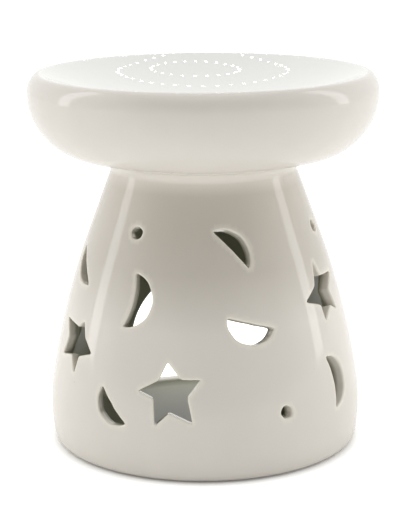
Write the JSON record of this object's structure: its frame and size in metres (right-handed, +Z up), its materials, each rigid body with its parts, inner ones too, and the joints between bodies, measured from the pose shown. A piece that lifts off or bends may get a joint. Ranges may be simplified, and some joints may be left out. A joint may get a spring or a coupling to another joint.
{
  "type": "tealight holder",
  "caption": "Glazed ceramic tealight burner: bell with star and moon cut-outs and a rear arch, a shallow oil dish on top, and a tealight inside",
  "frame": {"origin": "on the table, under the middle of the bell and dish", "axes": "+Z up, -Y the front with the large star low on its left, +Y the back with the arch"},
  "size_m": [0.11, 0.11, 0.1181],
  "materials": {
    "bell_glaze": "gloss white glaze",
    "dish_glaze": "gloss white glaze",
    "cup_foil": "bright pressed foil",
    "wax": "white paraffin wax",
    "wick_cotton": "waxed braided cotton",
    "tab_steel": "tinned sheet"
  },
  "bodies": {
    "burner": {"burner_body": "bell_glaze", "oil_dish": "dish_glaze"},
    "tealight": {"tealight_cup": "cup_foil", "tealight_wax": "wax", "tealight_wick": "wick_cotton", "wick_sustainer": "tab_steel"}
  },
  "joints": [
    {"name": "tealight_slide", "type": "slide", "parent": "burner", "child": "tealight", "axis": [-0.4028, 0.9047, 0.1392], "range_m": [0, 0.085]}
  ]
}
